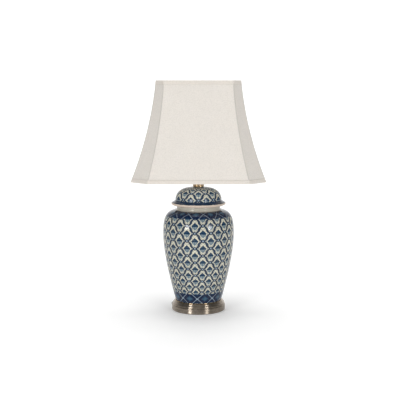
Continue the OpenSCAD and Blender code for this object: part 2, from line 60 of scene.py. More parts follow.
def add_camera():
    """Stands about level with the shade's top edge and looks down at the lamp's middle."""
    data = bpy.data.cameras.new("camera")
    data.sensor_width = 36
    data.lens = LENS
    data.clip_end = 50
    camera = bpy.data.objects.new("camera", data)
    camera.location = EYE
    camera.rotation_euler = (AIM - EYE).to_track_quat("-Z", "Y").to_euler()
    bpy.context.scene.collection.objects.link(camera)
    bpy.context.scene.camera = camera


add_camera()


# ---- node graphs ---------------------------------------------------------------------

class Value:
    """A number in a node graph. Arithmetic on it adds Math nodes."""

    def __init__(self, graph, socket):
        self.graph = graph
        self.socket = socket

    def _do(self, operation, *others):
        return self.graph.math(operation, self, *others)

    def __add__(self, other):
        return self._do("ADD", other)

    def __radd__(self, other):
        return self._do("ADD", other)

    def __sub__(self, other):
        return self._do("SUBTRACT", other)

    def __rsub__(self, other):
        return self.graph.math("SUBTRACT", other, self)

    def __mul__(self, other):
        return self._do("MULTIPLY", other)

    def __truediv__(self, other):
        return self._do("DIVIDE", other)

    def __neg__(self):
        return self._do("MULTIPLY", -1)

    def __abs__(self):
        return self._do("ABSOLUTE")

    def __pow__(self, power):
        return self._do("POWER", power)

    def fract(self):
        return self._do("FRACT")

    def sine(self):
        return self._do("SINE")

    def most(self, other):
        return self._do("MAXIMUM", other)

    def step(self, low, high):
        """0 where this is at low, 1 where it is at high, and smooth between."""
        node = self.graph.add("ShaderNodeMapRange")
        node.interpolation_type = "SMOOTHSTEP"
        self.graph.link(self, node.inputs["Value"])
        for name, value in (("From Min", low), ("From Max", high), ("To Min", 0), ("To Max", 1)):
            self.graph.link(value, node.inputs[name])
        return Value(self.graph, node.outputs["Result"])


class Graph:
    """A material under construction."""

    def __init__(self, name):
        self.material = bpy.data.materials.new(name)
        self.material.use_nodes = True
        self.tree = self.material.node_tree
        self.tree.nodes.clear()
        self.shader = self.add("ShaderNodeBsdfPrincipled")
        output = self.add("ShaderNodeOutputMaterial")
        self.tree.links.new(self.shader.outputs["BSDF"], output.inputs["Surface"])

    def add(self, kind):
        node = self.tree.nodes.new(kind)
        node.location = (60 * (len(self.tree.nodes) % 40), -120 * (len(self.tree.nodes) // 40))
        return node

    def link(self, value, socket):
        if isinstance(value, Value):
            self.tree.links.new(value.socket, socket)
        elif isinstance(value, bpy.types.NodeSocket):
            self.tree.links.new(value, socket)
        elif hasattr(value, "__len__") and len(value) == 3 and socket.type == "RGBA":
            socket.default_value = (*value, 1)
        else:
            socket.default_value = value

    def math(self, operation, *values):
        node = self.add("ShaderNodeMath")
        node.operation = operation
        for value, socket in zip(values, node.inputs):
            self.link(value, socket)
        return Value(self, node.outputs[0])

    def set(self, **values):
        """Sets or links the shader's inputs; base_color stands for Base Color."""
        for name, value in values.items():
            self.link(value, self.shader.inputs[name.replace("_", " ").title()
                                                .replace("Ior", "IOR")])

    def mix(self, share, a, b):
        node = self.add("ShaderNodeMix")
        node.data_type = "RGBA"
        self.link(share, node.inputs["Factor"])
        self.link(a, node.inputs[6])
        self.link(b, node.inputs[7])
        return node.outputs[2]

    def blend(self, share, a, b):
        """Mix of two numbers."""
        node = self.add("ShaderNodeMix")
        self.link(share, node.inputs["Factor"])
        self.link(a, node.inputs[2])
        self.link(b, node.inputs[3])
        return Value(self, node.outputs[0])

    def place(self):
        """The surface point in the object's own space, in metres."""
        return self.add("ShaderNodeTexCoord").outputs["Object"]

    def uv(self):
        split = self.add("ShaderNodeSeparateXYZ")
        self.link(self.add("ShaderNodeTexCoord").outputs["UV"], split.inputs[0])
        return Value(self, split.outputs[0]), Value(self, split.outputs[1])

    def xyz(self, vector):
        split = self.add("ShaderNodeSeparateXYZ")
        self.link(vector, split.inputs[0])
        return [Value(self, o) for o in split.outputs]

    def vector(self, x, y, z=0.0):
        node = self.add("ShaderNodeCombineXYZ")
        for value, socket in zip((x, y, z), node.inputs):
            self.link(value, socket)
        return node.outputs[0]

    def scaled(self, vector, factors):
        node = self.add("ShaderNodeVectorMath")
        node.operation = "MULTIPLY"
        self.link(vector, node.inputs[0])
        node.inputs[1].default_value = factors
        return node.outputs[0]

    def noise(self, scale, vector=None, detail=3.0, roughness=0.55):
        node = self.add("ShaderNodeTexNoise")
        self.link(self.place() if vector is None else vector, node.inputs["Vector"])
        for name, value in (("Scale", scale), ("Detail", detail), ("Roughness", roughness)):
            node.inputs[name].default_value = value
        return Value(self, node.outputs["Fac"])

    def cracks(self, scale, jitter):
        """Distance to the nearest edge between cells, in cell widths."""
        node = self.add("ShaderNodeTexVoronoi")
        node.feature = "DISTANCE_TO_EDGE"
        node.inputs["Scale"].default_value = scale
        node.inputs["Randomness"].default_value = jitter
        self.link(self.place(), node.inputs["Vector"])
        return Value(self, node.outputs["Distance"])

    def bump(self, height, distance, strength=1.0):
        """Relief from a height of 0 to 1, distance metres deep."""
        node = self.add("ShaderNodeBump")
        node.inputs["Strength"].default_value = strength
        node.inputs["Distance"].default_value = distance
        self.link(height, node.inputs["Height"])
        if self.shader.inputs["Normal"].is_linked:
            self.link(self.shader.inputs["Normal"].links[0].from_socket, node.inputs["Normal"])
        self.link(node.outputs["Normal"], self.shader.inputs["Normal"])


# ---- ceramic -------------------------------------------------------------------------

CREAM = (0.69, 0.65, 0.51)
NAVY = (0.0015, 0.018, 0.050)
COBALT = (0.013, 0.052, 0.105)
WASH = (0.060, 0.130, 0.185)
PALE = (0.30, 0.38, 0.45)
BISQUE = (0.60, 0.50, 0.42)
MIST = (0.30, 0.32, 0.30)
CUP_WASH = (0.15, 0.215, 0.25)
RESERVE = (0.42, 0.45, 0.42)
BAND_DARK = (0.0010, 0.009, 0.034)
BAND_LIGHT = (0.003, 0.014, 0.052)
COLLAR_GREY = (0.42, 0.40, 0.345)
CRACK_STAIN = (0.20, 0.16, 0.11)
SPECK = (0.16, 0.13, 0.09)
HAND_TREMOR = 0.0036
GLAZE_INDEX = 1.38
GLAZE_SPECULAR = 0.33


def near(graph, distance, half_width, edge):
    """1 on a line and 0 off it. Its side lies half_width out and is softened by edge both ways."""
    return distance.step(half_width + edge, half_width - edge)


def trellis(graph, x, y):
    """Ogee lattice in cell units. Crossings lie at whole and at half steps, buds between them."""
    fx, fy = (x + 0.5).fract() - 0.5, (y + 0.5).fract() - 0.5
    gx, gy = x.fract() - 0.5, y.fract() - 0.5

    # two legs of each ogee: they lean in towards the crossings, and stand steeply between them
    across, up = abs(fx) * 2, abs(fy) * 4 - 1
    spread = abs(up) ** 1.8
    bend = across - 0.5 - up * (spread * 0.42 + 0.08)
    steep = spread * 2.52 + 0.17
    leg = abs(bend) / (steep * steep + 1) ** 0.5
    half = 0.158 - abs(up).step(0.25, 0.95) * 0.080
    line = (half - leg).step(-0.022, 0.022)
    core = near(graph, leg, 0.030, 0.024) * near(graph, abs(up), 0.5, 0.2)
    echo = near(graph, abs(leg - 0.240), 0.015, 0.016) * near(graph, abs(up), 0.62, 0.18)

    def crossing(a, b):
        """Dark diamond with a pale heart over each crossing."""
        q = abs(a) / 0.178 + abs(b) / 0.150
        return near(graph, q, 0.95, 0.14), near(graph, q, 0.40, 0.12)

    def bud(a, b):
        """Flower bud in its cup, with a stem and two leaves under it."""
        top = b.most(0.0)
        low = (-b).most(0.0)
        width = 0.228 - top * 1.00 - (low * low * 1.5 + low * 0.34)
        body = (width - abs(a)).step(-0.012, 0.012)
        band = near(graph, abs(b + 0.006), 0.044, 0.020) * (0.220 - abs(a)).step(0, 0.02)
        knob = near(graph, abs(a) + abs(b - 0.145), 0.045, 0.02)
        light = near(graph, abs(abs(a) - 0.058), 0.015, 0.014)
        light = light * near(graph, abs(b + 0.125), 0.050, 0.02)
        stem = near(graph, abs(a), 0.014, 0.012) * near(graph, abs(b + 0.33), 0.07, 0.03)
        leaf = near(graph, abs(abs(a) - 0.115 - (b + 0.27) * 0.55), 0.016, 0.014)
        stem = stem.most(leaf * near(graph, abs(b + 0.27), 0.075, 0.03))
        cup = body * near(graph, b, -0.05, 0.03)
        crest = body * (b - 0.02).step(0, 0.03)
        return body, band.most(knob), light, stem, cup, crest

    def both(one, two):
        return [a.most(b) for a, b in zip(one, two)]

    def veil(a, b):
        """Small strokes beside each bud and over its tip."""
        side = near(graph, abs(abs(a) - 0.285), 0.022, 0.016) * near(graph, abs(b), 0.085, 0.03)
        high = near(graph, abs(abs(a) * 0.8 - (b - 0.22)), 0.016, 0.014)
        return side.most(high * near(graph, abs(b - 0.29), 0.055, 0.02))

    ring, heart = both(crossing(fx, fy), crossing(gx, gy))
    strokes = veil(fx, gy).most(veil(gx, fy))
    body, band, light, stem, cup, crest = both(bud(fx, gy), bud(gx, fy))
    return {"line": line, "core": core, "echo": echo, "ring": ring, "heart": heart,
            "veil": strokes, "body": body, "band": band, "light": light, "stem": stem,
            "cup": cup, "crest": crest}


def cross_band(graph, x, y, rosette):
    """Navy band with crossing pale lines and a lozenge in each cell. y runs from -0.5 to 0.5."""
    fx = x.fract() - 0.5
    gx = (x + 0.5).fract() - 0.5
    line = near(graph, abs(abs(gx) - abs(y) * 0.68), 0.022, 0.016)
    lozenge = near(graph, abs(fx) + abs(y) * 0.84, 0.25, 0.022)
    inner = near(graph, abs(fx) + abs(y) * 0.84, 0.14, 0.09)
    edge = near(graph, abs(gx) + abs(abs(y) - 0.5), 0.16, 0.03)
    rose = near(graph, abs(abs(gx).most(abs(y)) - 0.052), 0.018, 0.014) * rosette
    return line, lozenge, inner, edge, rose


def paint_glaze(graph, sizes):
    """Cobalt painting under a crackled clear glaze. In sizes, around is how many motifs go round
    the pot and turn shifts them, row_height and row_v set the trellis's rows, and bands, plain
    and bare say where those stretches lie. Heights are in turns, as conformal() gives them."""
    u, v = graph.uv()
    sway = graph.noise(95, detail=2) - 0.5
    heave = graph.noise(88, graph.scaled(graph.place(), (1, 1, -1)), detail=2) - 0.5
    uu = u + sway * HAND_TREMOR
    vv = v + heave * HAND_TREMOR * TAU
    pool = graph.noise(260, detail=3)
    speckle = graph.noise(1500, detail=2)

    colour = graph.mix(graph.noise(30, detail=4).step(0.35, 0.7), CREAM,
                       tuple(c * 0.88 for c in CREAM))
    x = (uu * sizes["around"]) + sizes["turn"]
    y = (vv - sizes["row_v"]) / sizes["row_height"]
    parts = trellis(graph, x, y)
    ink = graph.mix(pool.step(0.40, 0.90), NAVY, tuple(c * 1.6 + 0.003 for c in NAVY))
    blue = graph.mix(pool.step(0.35, 0.9), COBALT, WASH)
    mist = graph.noise(210, detail=3).step(0.46, 0.66)
    colour = graph.mix(mist * 0.45, colour, MIST)
    colour = graph.mix(parts["echo"] * 0.80, colour, WASH)
    colour = graph.mix(parts["veil"] * 0.85, colour, WASH)
    colour = graph.mix(parts["stem"] * 0.8, colour, WASH)
    colour = graph.mix(parts["body"] * 0.97, colour, blue)
    colour = graph.mix(parts["crest"] * 0.55, colour, ink)
    colour = graph.mix(parts["cup"] * 0.45, colour, CUP_WASH)
    colour = graph.mix(parts["light"] * 0.8, colour, RESERVE)
    colour = graph.mix(parts["band"] * 0.92, colour, ink)
    colour = graph.mix(parts["line"] * 0.97, colour, ink)
    colour = graph.mix(parts["core"] * 0.55, colour, COBALT)
    colour = graph.mix(parts["ring"] * 0.93, colour, ink)
    colour = graph.mix(parts["heart"] * 0.85, colour, PALE)

    for band in sizes["bands"]:
        share = (vv - band["low"]) / (band["high"] - band["low"])
        inside = (vv - band["low"]).step(-0.004, 0.004) * (band["high"] - vv).step(-0.004, 0.004)
        bx = uu * band["around"] + band["turn"]
        line, lozenge, inner, edge, rose = cross_band(graph, bx, share - 0.5, band["rosette"])
        fill = graph.mix(pool.step(0.3, 0.8), BAND_DARK, BAND_LIGHT)
        fill = graph.mix(lozenge * 0.92, fill, COBALT)
        fill = graph.mix(inner * 0.6, fill, WASH)
        fill = graph.mix(edge * 0.5, fill, COBALT)
        fill = graph.mix(line * band["line"], fill, PALE)
        fill = graph.mix(rose * 0.8, fill, PALE)
        colour = graph.mix(inside, colour, fill)
    for low, high, shade in sizes["plain"]:
        inside = (vv - low).step(-0.003, 0.003) * (high - vv).step(-0.003, 0.003)
        colour = graph.mix(inside, colour, shade)

    # the glaze: a fine crackle, stained a little, over a surface that is not quite even
    fine = graph.cracks(120, jitter=0.95)
    crack = near(graph, fine, 0.030, 0.022) * graph.noise(40).step(0.38, 0.6)
    colour = graph.mix(crack * sizes["crackle"], colour, CRACK_STAIN)
    colour = graph.mix(speckle.step(0.66, 0.8) * 0.10, colour, SPECK)
    gloss = graph.noise(55).step(0.2, 0.8) * 0.04 + 0.05
    if "bare" in sizes:
        low, high = sizes["bare"]
        bare = (v - low).step(-0.002, 0.002) * (high - v).step(-0.002, 0.002)
        sandy = graph.mix(graph.noise(420).step(0.3, 0.7), BISQUE, tuple(c * 0.8 for c in BISQUE))
        colour = graph.mix(bare, colour, sandy)
        gloss = graph.blend(bare, gloss, 0.75)
    graph.set(base_color=colour, roughness=gloss, ior=GLAZE_INDEX,
              specular_ior_level=GLAZE_SPECULAR)
    graph.bump(graph.noise(26, detail=2), 0.0005, 0.5)
    graph.bump(graph.noise(330, detail=2), 0.00003, 0.4)
    graph.bump(crack * -1.0, 0.00005, 0.8)
    return graph.material


# ---- metals, plastics and cloth ------------------------------------------------------

def metal(name, bright, dark, roughness, brushing=0.0, wear=0.4, anisotropic=0.0):
    """Lacquered or plated metal: darker in patches, with fine turning marks round Z."""
    g = Graph(name)
    patches = g.noise(38, detail=5, roughness=0.65)
    fine = g.noise(420, detail=3)
    colour = g.mix(patches.step(0.32, 0.72), bright, dark)
    colour = g.mix(fine.step(0.55, 0.8) * wear, colour, tuple(c * 0.6 for c in dark))
    height = g.xyz(g.place())[2]
    rings = g.noise(1.0, g.vector(0.0, 0.0, height * 5200), detail=2)
    g.set(base_color=colour, metallic=1.0)
    g.set(roughness=roughness + patches * 0.10 + rings * brushing * 0.3)
    if anisotropic:
        tangent = g.add("ShaderNodeTangent")
        tangent.direction_type = "RADIAL"
        tangent.axis = "Z"
        g.set(anisotropic=anisotropic, anisotropic_rotation=0.25)
        g.link(tangent.outputs[0], g.shader.inputs["Tangent"])
    if brushing:
        g.bump(rings, 0.00003 * brushing, 0.6)
    g.bump(g.noise(160, detail=3), 0.00005, 0.35)
    return g.material


def plain(name, colour, roughness, grain=600, depth=0.00005, variation=0.15, **inputs):
    """Moulded or pressed material with a fine grain."""
    g = Graph(name)
    mottle = g.noise(grain * 0.2, detail=4)
    colours = g.mix(mottle.step(0.3, 0.7), colour, tuple(c * (1 - variation) for c in colour))
    g.set(base_color=colours, roughness=roughness + g.noise(grain * 0.5) * 0.12, **inputs)
    g.bump(g.noise(grain, detail=3), depth, 0.5)
    return g.material


def woven(name, colour, thread=0.00055, slub=0.35, translucent=0.0, roughness=0.85, tone=0.07,
          stitched=()):
    """Plain weave. UVs are in metres along the cloth, so the threads keep their size.
    stitched lists heights at which a row of stitches draws the cloth in; the cloth is painted
    darker along each row, as painted shade in the crease."""
    g = Graph(name)
    u, v = g.uv()
    drift = (g.noise(70, detail=2) - 0.5) * 0.0006
    a, b = (u + drift) / thread, (v - drift) / thread
    thick_a = g.noise(1.0, g.vector(u * 60, v * 1700), detail=2)
    thick_b = g.noise(1.0, g.vector(u * 1700 + 7.0, v * 60), detail=2)
    warp = abs((a * math.pi).sine())
    weft = abs((b * math.pi).sine())
    over = ((a + 0.5).fract() - 0.5) * ((b + 0.5).fract() - 0.5)
    weave = warp.most(weft) * 0.7 + over.step(-0.1, 0.1) * 0.3
    slubs = thick_a.step(0.56, 0.78).most(thick_b.step(0.58, 0.8))
    mottle = g.noise(22, detail=3)
    cloud = g.noise(330, detail=4, roughness=0.7)
    base = g.mix(mottle.step(0.3, 0.7) * 0.3, colour, tuple(c * (1 - tone) for c in colour))
    base = g.mix(slubs * slub, base, tuple(min(1, c * 1.07 + 0.01) for c in colour))
    # painted shade: the cloth is darker between the threads
    base = g.mix((1 - weave) * 0.22, base, tuple(c * 0.72 for c in colour))
    base = g.mix(cloud.step(0.42, 0.66) * 0.95, base, tuple(c * 0.88 for c in colour))
    height = g.xyz(g.place())[2]
    for level in stitched:
        # painted shade: the cloth is darkened along the crease each row of stitches draws in, and
        # the same mask gives the crease's relief
        crease_and_shade = near(g, abs(height - level), 0.0007, 0.0006)
        stitch = crease_and_shade * ((u / 0.0028).fract() - 0.5).step(-0.35, -0.15)
        base = g.mix(crease_and_shade * 0.30 + stitch * 0.12, base, tuple(c * 0.58 for c in colour))
        g.bump(crease_and_shade * -1.0, 0.0003, 0.7)
    g.set(base_color=base, roughness=roughness, sheen_weight=0.18, sheen_roughness=0.5)
    if translucent:
        g.set(subsurface_weight=translucent, subsurface_radius=(0.004, 0.003, 0.002))
    g.bump(weave + slubs * 0.5, 0.00016, 0.55)
    g.bump(cloud, 0.0002, 0.25)
    return g.material


def frosted_glass():
    g = Graph("frosted_glass")
    g.set(base_color=g.mix(g.noise(300).step(0.3, 0.7), (0.95, 0.95, 0.93), (0.91, 0.91, 0.89)),
          roughness=g.noise(900) * 0.1 + 0.32, ior=1.45, subsurface_weight=0.25,
          coat_weight=0.3, coat_roughness=0.25)
    g.bump(g.noise(2400), 0.00002, 0.4)
    return g.material


STITCH_HEIGHTS = (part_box("top_trim")[0].z + 0.0006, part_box("bottom_trim")[1].z - 0.0006)
MATERIALS = {
    "antique_brass": metal("antique_brass", (0.37, 0.315, 0.258), (0.235, 0.20, 0.16),
                           0.15, brushing=0.6, wear=0.25, anisotropic=1.0),
    "gold_brass": metal("gold_brass", (0.50, 0.37, 0.23), (0.36, 0.255, 0.145), 0.13, 0.15,
                        anisotropic=1.0),
    "zinc_steel": metal("zinc_steel", (0.60, 0.60, 0.59), (0.47, 0.47, 0.46), 0.30, 0.4),
    "nickel": metal("nickel", (0.72, 0.70, 0.66), (0.60, 0.58, 0.55), 0.20, 0.3),
    "iron": plain("iron", (0.03, 0.03, 0.032), 0.6, grain=260, depth=0.0003, metallic=0.6),
    "felt": plain("felt", (0.012, 0.012, 0.012), 0.85, grain=900, depth=0.0004, sheen_weight=0.5),
    "black_plastic": plain("black_plastic", (0.012, 0.012, 0.013), 0.38, grain=700),
    "phenolic": plain("phenolic", (0.016, 0.012, 0.010), 0.3, grain=300, variation=0.4),
    "rubber": plain("rubber", (0.02, 0.02, 0.02), 0.7, grain=500),
    "cardboard": plain("cardboard", (0.36, 0.25, 0.13), 0.85, grain=800, variation=0.3),
    "white_wire": plain("white_wire", (0.78, 0.77, 0.74), 0.35, grain=300, depth=0.0001),
    "frosted_glass": frosted_glass(),
    "linen": woven("linen", (0.69, 0.652, 0.602), translucent=0.05),
    "tape": woven("tape", (0.675, 0.627, 0.570), translucent=0.05, stitched=STITCH_HEIGHTS),
    # the piping is coloured darker than the panels' linen: painted shade along the seams
    "piping": woven("piping", (0.545, 0.515, 0.475), translucent=0.05),
    "lining": woven("lining", (0.86, 0.845, 0.81), thread=0.0003, slub=0.1, roughness=0.5),
}


# ---- mesh helpers --------------------------------------------------------------------

def add_piece(name, points, faces, material, body, uvs=None, sharp_angle=None):
    """A mesh piece that rides on a body. uvs holds one pair for each corner of each face."""
    mesh = bpy.data.meshes.new(name)
    mesh.from_pydata([tuple(p) for p in points], [], faces)
    mesh.validate()
    if uvs is not None:
        layer = mesh.uv_layers.new(name="cloth")
        layer.data.foreach_set("uv", np.asarray(uvs, np.float32).ravel())
    mesh.materials.append(material)
    mesh.polygons.foreach_set("use_smooth", [True] * len(mesh.polygons))
    if sharp_angle:
        mesh.set_sharp_from_angle(angle=math.radians(sharp_angle))
    piece = bpy.data.objects.new(name, mesh)
    bpy.context.scene.collection.objects.link(piece)
    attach(piece, body)
    return piece


def grid_faces(rows, columns, close_rows=False, close_columns=False):
    """Quads over a grid of points, row by row."""
    faces = []
    for i in range(rows if close_rows else rows - 1):
        for j in range(columns if close_columns else columns - 1):
            a, b = (i + 1) % rows, (j + 1) % columns
            faces.append((i * columns + j, i * columns + b, a * columns + b, a * columns + j))
    return faces


def bezier(a, b, c, d, n):
    """n points on a cubic curve, without its last point."""
    t = np.arange(n)[:, None] / n
    a, b, c, d = (np.array(p, float) for p in (a, b, c, d))
    return (1 - t) ** 3 * a + 3 * t * (1 - t) ** 2 * b + 3 * t * t * (1 - t) * c + t ** 3 * d


def turned(name, node, outline, material, segments, v=None):
    """Lathe round Z that stands for a node of the lamp's body. outline is a list of (radius,
    height) in metres, and v gives each of its points a texture height."""
    outline = np.asarray(outline, float)
    if v is None:
        step = np.linalg.norm(np.diff(outline, axis=0), axis=1)
        v = np.concatenate([[0], np.cumsum(step)])
    rows = len(outline)
    angle = TAU * np.arange(segments) / segments
    ring = np.stack([np.sin(angle), -np.cos(angle)], 1)
    points = np.zeros((rows, segments, 3))
    points[:, :, :2] = outline[:, 0, None, None] * ring[None]
    points[:, :, 2] = outline[:, 1, None]
    uvs = []
    for i in range(rows - 1):
        for j in range(segments):
            left, right = j / segments, (j + 1) / segments
            uvs += [(left, v[i]), (right, v[i]), (right, v[i + 1]), (left, v[i + 1])]
    faces = grid_faces(rows, segments, close_columns=True)
    piece = add_piece(name, points.reshape(-1, 3), faces, material, "lamp", uvs,
                      sharp_angle=50)
    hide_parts(node)


def conformal(outline):
    """Height measured in turns: equal steps keep a painted motif's proportions at any radius."""
    r = np.maximum(outline[:, 0], 1e-4)
    step = np.linalg.norm(np.diff(outline, axis=0), axis=1)
    return np.concatenate([[0], np.cumsum(step / ((r[1:] + r[:-1]) / 2))])


# ---- jar and lid ---------------------------------------------------------------------

jar_low, jar_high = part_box("jar")
lid_low, lid_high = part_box("lid")
belly_r = jar_high.x
foot_z, rim_z = jar_low.z, jar_high.z
FOOT_R = 65 * MM
BELLY_Z = foot_z + 188.9 * MM
SHOULDER_Z = foot_z + 256 * MM
FILLET_W, FILLET_H = 3.6 * MM, 6 * MM
COLLAR_R = 60.6 * MM
WALL = 5 * MM


def jar_outline():
    """Outer face of the jar from under its foot to inside its rim."""
    return np.concatenate([
        [(FOOT_R - 8 * MM, foot_z + 3 * MM), (FOOT_R - 7 * MM, foot_z)],
        bezier((FOOT_R - 2 * MM, foot_z), (FOOT_R - 0.8 * MM, foot_z), (FOOT_R, foot_z + 0.2 * MM),
               (FOOT_R, foot_z + 1.4 * MM), 5),
        bezier((FOOT_R + 0.3 * MM, foot_z + 1.4 * MM), (FOOT_R + 13.2 * MM, foot_z + 48.3 * MM),
               (belly_r, BELLY_Z - 57.5 * MM), (belly_r, BELLY_Z), 70),
        bezier((belly_r, BELLY_Z), (belly_r, BELLY_Z + 36.2 * MM),
               (belly_r - 3.6 * MM, SHOULDER_Z - 5.2 * MM), (COLLAR_R + FILLET_W, SHOULDER_Z), 60),
        bezier((COLLAR_R + FILLET_W, SHOULDER_Z),
               (COLLAR_R + 0.45 * FILLET_W, SHOULDER_Z + 0.13 * FILLET_H),
               (COLLAR_R, SHOULDER_Z + 0.4 * FILLET_H), (COLLAR_R, SHOULDER_Z + FILLET_H), 12),
        bezier((COLLAR_R, SHOULDER_Z + FILLET_H), (COLLAR_R, rim_z - 2 * MM),
               (COLLAR_R, rim_z), (COLLAR_R - 1.6 * MM, rim_z), 12),
        [(COLLAR_R - 1.6 * MM, rim_z), (COLLAR_R - WALL + 1 * MM, rim_z),
         (COLLAR_R - WALL, rim_z - 1.2 * MM), (COLLAR_R - WALL, rim_z - 8 * MM)]])


def lid_outline():
    """Upper face of the lid, from under the brim to the hole in the crown."""
    dome_r, brim_r = 64.7 * MM, lid_high.x
    top, z = lid_high.z, rim_z
    return np.concatenate([
        [(COLLAR_R - 6 * MM, z + 0.3 * MM)],
        bezier((COLLAR_R + 7 * MM, z + 0.9 * MM), (COLLAR_R + 12 * MM, z + 1.2 * MM),
               (brim_r, z + 3.2 * MM), (brim_r, z + 6.2 * MM), 16),
        bezier((brim_r, z + 6.2 * MM), (brim_r, z + 9.4 * MM),
               (dome_r + 4.2 * MM, z + 11.4 * MM), (dome_r + 1.4 * MM, z + 13.4 * MM), 16),
        bezier((dome_r + 1.4 * MM, z + 13.4 * MM), (dome_r + 0.3 * MM, z + 14.4 * MM),
               (dome_r, z + 15.2 * MM), (dome_r, z + 16.6 * MM), 6),
        bezier((dome_r, z + 16.6 * MM), (dome_r - 0.4 * MM, top - 15.6 * MM),
               (dome_r - 14.4 * MM, top), (14 * MM, top), 60),
        [(14 * MM, top), (5.6 * MM, top), (5.6 * MM, top - 3 * MM)]])


def v_at(outline, v, z, low, high):
    """Conformal height at height z, on the stretch of outline from row low to row high."""
    part = slice(low, high)
    return float(np.interp(z, outline[part, 1], v[part]))


def build_jar():
    outline = jar_outline()
    v = conformal(outline)
    # the row of the outline at which the collar begins
    outer = int(np.argmax(outline[:, 1] > SHOULDER_Z + 3 * MM))
    at = lambda z: v_at(outline, v, z * MM, 2, outer)
    graph = Graph("painted_jar")
    sizes = {
        "around": 14, "turn": -0.275, "row_height": 0.42, "row_v": at(252.3), "crackle": 0.34,
        "bands": [
            {"low": at(foot_z / MM + 1), "high": at(57.4), "around": 10, "turn": 0.077,
             "rosette": 1.0, "line": 0.9},
            {"low": at(269.6), "high": v[outer] - 0.05, "around": 12, "turn": -0.33,
             "rosette": 0.3, "line": 0.6}],
        "plain": [(v[outer] - 0.075, v[-1] + 1, COLLAR_GREY)],
    }
    turned("painted_jar", "jar", outline, paint_glaze(graph, sizes),
           segments=288, v=v)


def build_lid():
    outline = lid_outline()
    v = conformal(outline)
    at = lambda z: v_at(outline, v, z * MM, 1, -3)
    graph = Graph("painted_lid")
    root = at(312.5)
    sizes = {
        "around": 9, "turn": 0.5, "row_height": 0.64, "row_v": at(334.7), "crackle": 0.3,
        "bands": [],
        "plain": [(at(305.2), root, NAVY)],
        "bare": (-1, at(304.9)),
    }
    turned("painted_lid", "lid", outline, paint_glaze(graph, sizes),
           segments=256, v=v)


build_jar()
build_lid()


# ---- base and neck -------------------------------------------------------------------

def rounded(corners, radius=0.3 * MM, steps=4):
    """An outline with each corner eased by a small arc."""
    corners = [np.array(c, float) for c in corners]
    out = [corners[0]]
    for before, here, after in zip(corners, corners[1:], corners[2:]):
        a, b = before - here, after - here
        la, lb = np.linalg.norm(a), np.linalg.norm(b)
        cut = min(radius, la * 0.45, lb * 0.45)
        p, q = here + a / la * cut, here + b / lb * cut
        for t in np.linspace(0, 1, steps):
            out.append((1 - t) ** 2 * p + 2 * t * (1 - t) * here + t ** 2 * q)
    out.append(corners[-1])
    return np.array(out)


def build_base():
    low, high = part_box("base_shell")
    r, top = high.x, high.z
    band = 15.2 * MM
    profile = lambda dr, z: (r + dr * MM, z)
    outline = np.concatenate([
        [profile(-1.6, 4 * MM)],
        rounded([profile(-1.6, low.z), profile(-0.6, low.z), profile(0, low.z + 0.8 * MM),
                 profile(0, 7.4 * MM), profile(-0.35, 7.9 * MM), profile(-0.35, 8.5 * MM),
                 profile(0, 9.0 * MM), profile(0, band - 0.8 * MM), profile(-1, band),
                 profile(-2.5, band + 0.7 * MM), profile(-2.6, band + 1.6 * MM),
                 profile(-1.9, band + 2.4 * MM)], 0.7 * MM, 6),
        bezier(profile(-1.9, band + 2.4 * MM), profile(-1.6, band + 5.4 * MM),
               profile(-3.6, band + 7.0 * MM), profile(-5.4, band + 7.2 * MM), 14),
        bezier(profile(-5.6, band + 7.8 * MM), profile(-5.6, band + 10 * MM),
               profile(-8, top - 0.4 * MM), (FOOT_R + 1.4 * MM, top), 14),
        [(FOOT_R + 1.4 * MM, top), (FOOT_R - 8 * MM, top)]])
    turned("base_cover", "base_shell", outline, MATERIALS["antique_brass"],
           segments=256)


def build_neck():
    low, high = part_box("neck")
    r, z0, z1 = high.x, low.z, high.z
    outline = rounded([
        (r - 1.4 * MM, z0 + 2 * MM), (r - 1.4 * MM, z0), (r, z0), (r, z0 + 1.1 * MM),
        (r - 0.5 * MM, z0 + 1.5 * MM), (r - 0.5 * MM, z0 + 2.0 * MM), (r, z0 + 2.4 * MM),
        (r, z1 - 1.2 * MM), (r - 1.2 * MM, z1), (5.2 * MM, z1), (5.2 * MM, z1 - 2 * MM)], 0.4 * MM)
    turned("neck_tube", "neck", outline, MATERIALS["gold_brass"], segments=128)


build_base()
build_neck()


# ---- the shade's wall ----------------------------------------------------------------

FACES = ["panel_front", "panel_front_right", "panel_right", "panel_back_right",
         "panel_back", "panel_back_left", "panel_left", "panel_front_left"]
FACE_ANGLE = [math.radians(-90 + 45 * k) for k in range(8)]
HALF_BEND = math.radians(22.5)
trim_low, trim_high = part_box("bottom_trim")[0].z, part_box("top_trim")[1].z
LINING_DEPTH = 5.15 * MM
TRIM_H = 11 * MM
PANEL_THICKNESS = 0.8 * MM
PUCKER = 0.05 * MM
PIPING_HALF_WIDTH = 1.25 * MM
PIPING_CROWN = 0.95 * MM
PLEATS = 84
LINING_THINNING = 0.9965


def corner_curves():
    """The plan position of each corner as a curve in z, read from the CAD panels' outer faces."""
    ends = []
    for k, name in enumerate(FACES):
        co = np.array([v.co for v in frame["nodes"][name].data.vertices])
        normal = np.array([math.cos(FACE_ANGLE[k]), math.sin(FACE_ANGLE[k])])
        along = np.array([-normal[1], normal[0]])
        levels = sorted(set(np.round(co[:, 2], 5)))
        rows = []
        for z in levels:
            level = co[np.abs(co[:, 2] - z) < 2e-5]
            reach = level[:, :2] @ normal
            face = level[reach > reach.max() - 2e-4]
            side = face[:, :2] @ along
            rows.append((z, *face[np.argmin(side), :2], *face[np.argmax(side), :2]))
        ends.append(np.array(rows))
    curves = []
    for k in range(8):
        here, after = ends[k], ends[(k + 1) % 8]
        xy = (here[:, 3:5] + after[:, 1:3]) / 2
        curves.append([np.polyfit(here[:, 0], xy[:, i], 2) for i in (0, 1)])
    return curves


CORNERS = corner_curves()


